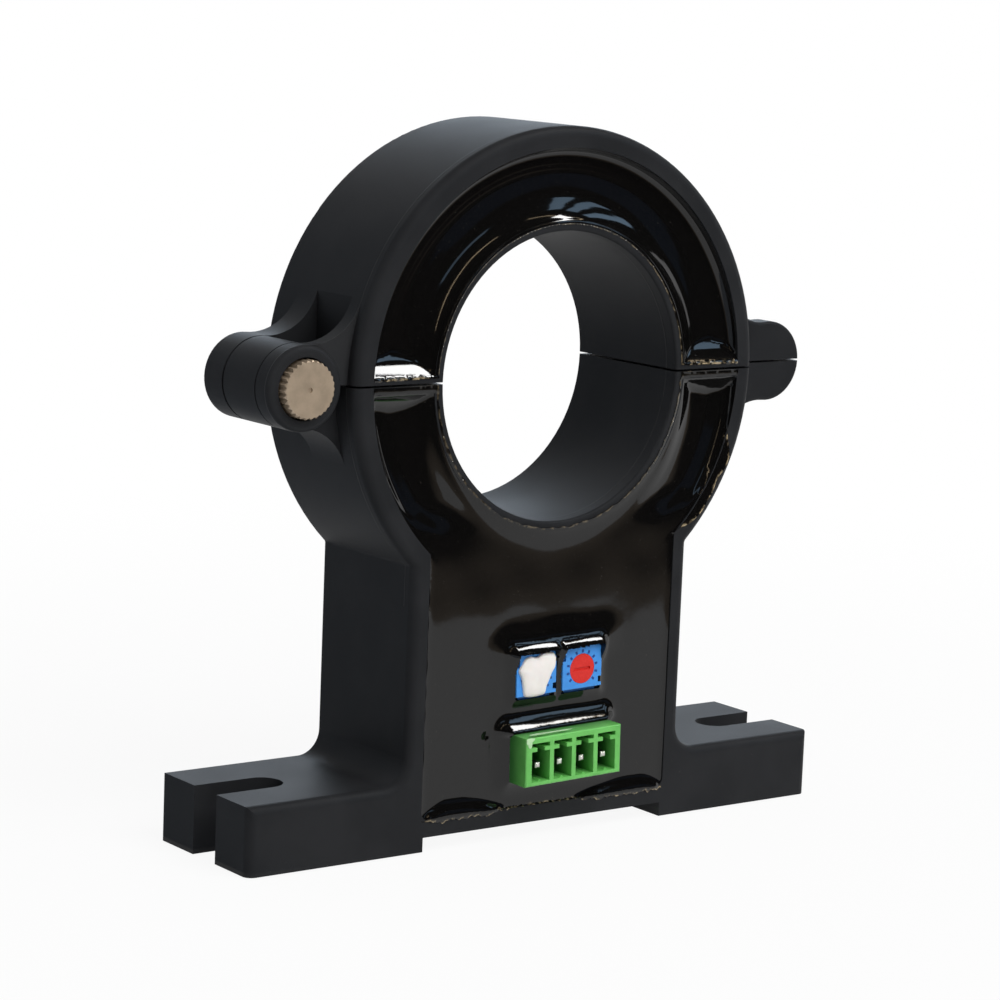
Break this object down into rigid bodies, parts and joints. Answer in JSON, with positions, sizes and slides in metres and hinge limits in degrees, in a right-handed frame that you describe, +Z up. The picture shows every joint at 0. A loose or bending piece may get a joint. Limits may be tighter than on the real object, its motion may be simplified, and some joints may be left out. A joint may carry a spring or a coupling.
{
  "type": "hall effect sensor",
  "caption": "Split-core Hall effect current sensor: a hinged black ring on a slotted foot, potted in resin, with a green pluggable header and trimmers.",
  "frame": {"origin": "on the plane under the feet, below the middle of the bore, halfway through the housing's depth, midway between the two foot slots", "axes": "+X to the right along the feet with the potted face seen from the front, +Y to the back (the potted face, header and trimmers look to -Y), +Z up; the bore runs along Y"},
  "size_m": [0.0974, 0.0263, 0.0985],
  "materials": {
    "housing_plastic": "fine-textured matte black",
    "potting_resin": "glossy black cast resin",
    "core_iron": "dull grey",
    "chip_plastic": "matte black",
    "lead_copper": "plain copper",
    "board": "green solder mask",
    "header_plastic": "satin green",
    "contact_metal": "tinned",
    "trimmer_plastic": "satin blue",
    "rotor_plastic": "satin red",
    "glue": "set white glue",
    "pin_metal": "knurled, dull nickel",
    "insert_brass": "plain",
    "screw_steel": "blackened"
  },
  "bodies": {
    "base": {"lower_housing": "housing_plastic", "lower_potting": "potting_resin", "lower_core": "core_iron", "left_hall_element": "chip_plastic", "right_hall_element": "chip_plastic", "left_hall_leads": "lead_copper", "right_hall_leads": "lead_copper", "circuit_board": "board", "amplifier_chip": "chip_plastic", "header_body": "header_plastic", "header_pin_1": "contact_metal", "header_pin_2": "contact_metal", "header_pin_3": "contact_metal", "header_pin_4": "contact_metal", "left_trimmer_body": "trimmer_plastic", "left_trimmer_rotor": "rotor_plastic", "right_trimmer_body": "trimmer_plastic", "sealing_glue": "glue", "hinge_pin": "pin_metal", "threaded_insert": "insert_brass"},
    "upper_half": {"upper_housing": "housing_plastic", "upper_potting": "potting_resin", "upper_core": "core_iron"},
    "screw": {"closing_screw": "screw_steel"},
    "rotor": {"right_trimmer_rotor": "rotor_plastic"}
  },
  "joints": [
    {"name": "ring_hinge", "type": "hinge", "parent": "base", "child": "upper_half", "pos_m": [-0.04115, 0, 0.0643], "axis": [0, -1, 0], "range_deg": [0, 120]},
    {"name": "screw_lift", "type": "slide", "parent": "upper_half", "child": "screw", "axis": [0, 0, 1], "range_m": [0, 0.006]},
    {"name": "trimmer_turn", "type": "hinge", "parent": "base", "child": "rotor", "pos_m": [0.00519, -0.011, 0.02319], "axis": [0, -1, 0], "range_deg": [-130, 130]}
  ]
}
